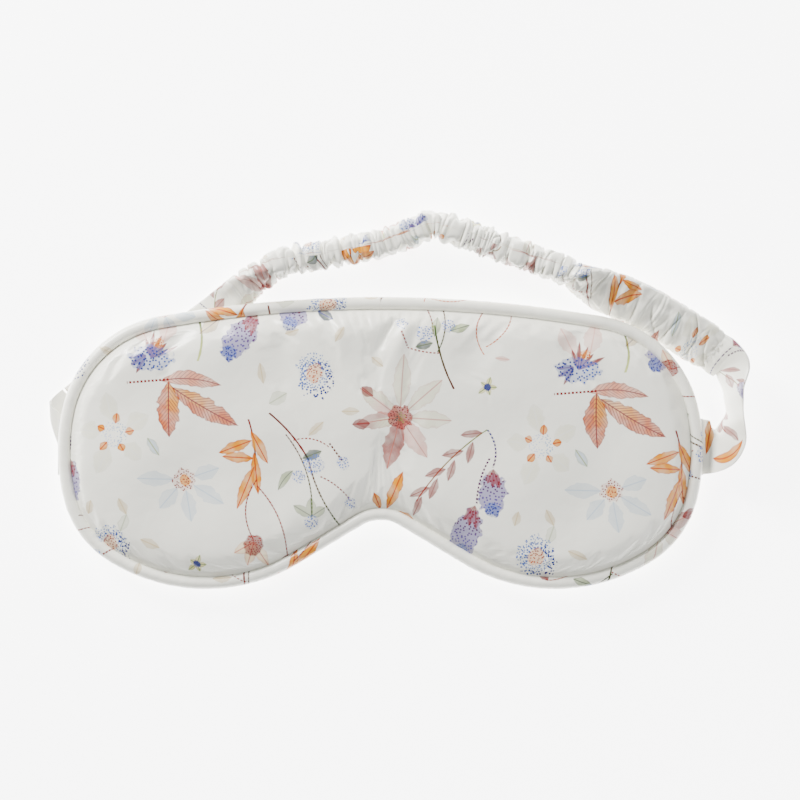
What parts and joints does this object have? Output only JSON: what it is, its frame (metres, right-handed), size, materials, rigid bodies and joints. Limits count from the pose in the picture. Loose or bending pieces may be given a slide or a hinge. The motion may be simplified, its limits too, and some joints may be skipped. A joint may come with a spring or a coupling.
{
  "type": "sleep mask",
  "caption": "Padded satin sleep mask with corded piping and a gathered elastic strap, lying face up with the strap folded round it.",
  "frame": {"origin": "middle of the mask's length and height on the flat rest area of its back panel", "axes": "+X along the mask towards the wearer's left end seam as worn, to the right when the mask lies face up; +Y towards the forehead edge; +Z out of the front panel"},
  "size_m": [0.2318, 0.1259, 0.0165],
  "materials": {
    "satin_front": "satin",
    "satin_back": "satin",
    "satin_piping": "satin",
    "satin_strap": "satin",
    "cotton_cord": "matte",
    "wadding": "matte",
    "liner": "matte",
    "thread": "satin",
    "elastic": "matte"
  },
  "bodies": {
    "mask": {"front_panel": "satin_front", "back_panel": "satin_back", "piping_cover": "satin_piping", "piping_cord": "cotton_cord", "front_wadding": "wadding", "back_wadding": "wadding", "blackout_liner": "liner", "seam_thread": "thread", "strap_root_left": "satin_strap", "strap_root_right": "satin_strap", "root_tack_left": "thread", "root_tack_right": "thread"},
    "strap": {"strap_tab_left": "satin_strap", "strap_tab_right": "satin_strap", "strap_casing_left": "satin_strap", "strap_casing_right": "satin_strap", "elastic_left": "elastic", "elastic_right": "elastic", "elastic_tack_left": "thread", "elastic_tack_right": "thread"},
    "strap_crown": {"strap_casing_back": "satin_strap", "elastic_back": "elastic"}
  },
  "joints": [
    {"name": "strap_swing", "type": "hinge", "parent": "mask", "child": "strap", "pos_m": [0, -0.0013, 0.0028], "axis": [-1, 0, 0], "range_deg": [0, 115]},
    {"name": "strap_stretch", "type": "slide", "parent": "strap", "child": "strap_crown", "axis": [0, 1, 0], "range_m": [0, 0.06], "stiffness_N_per_m": 40, "deforming": ["strap_casing_left", "strap_casing_right", "elastic_left", "elastic_right"]}
  ]
}
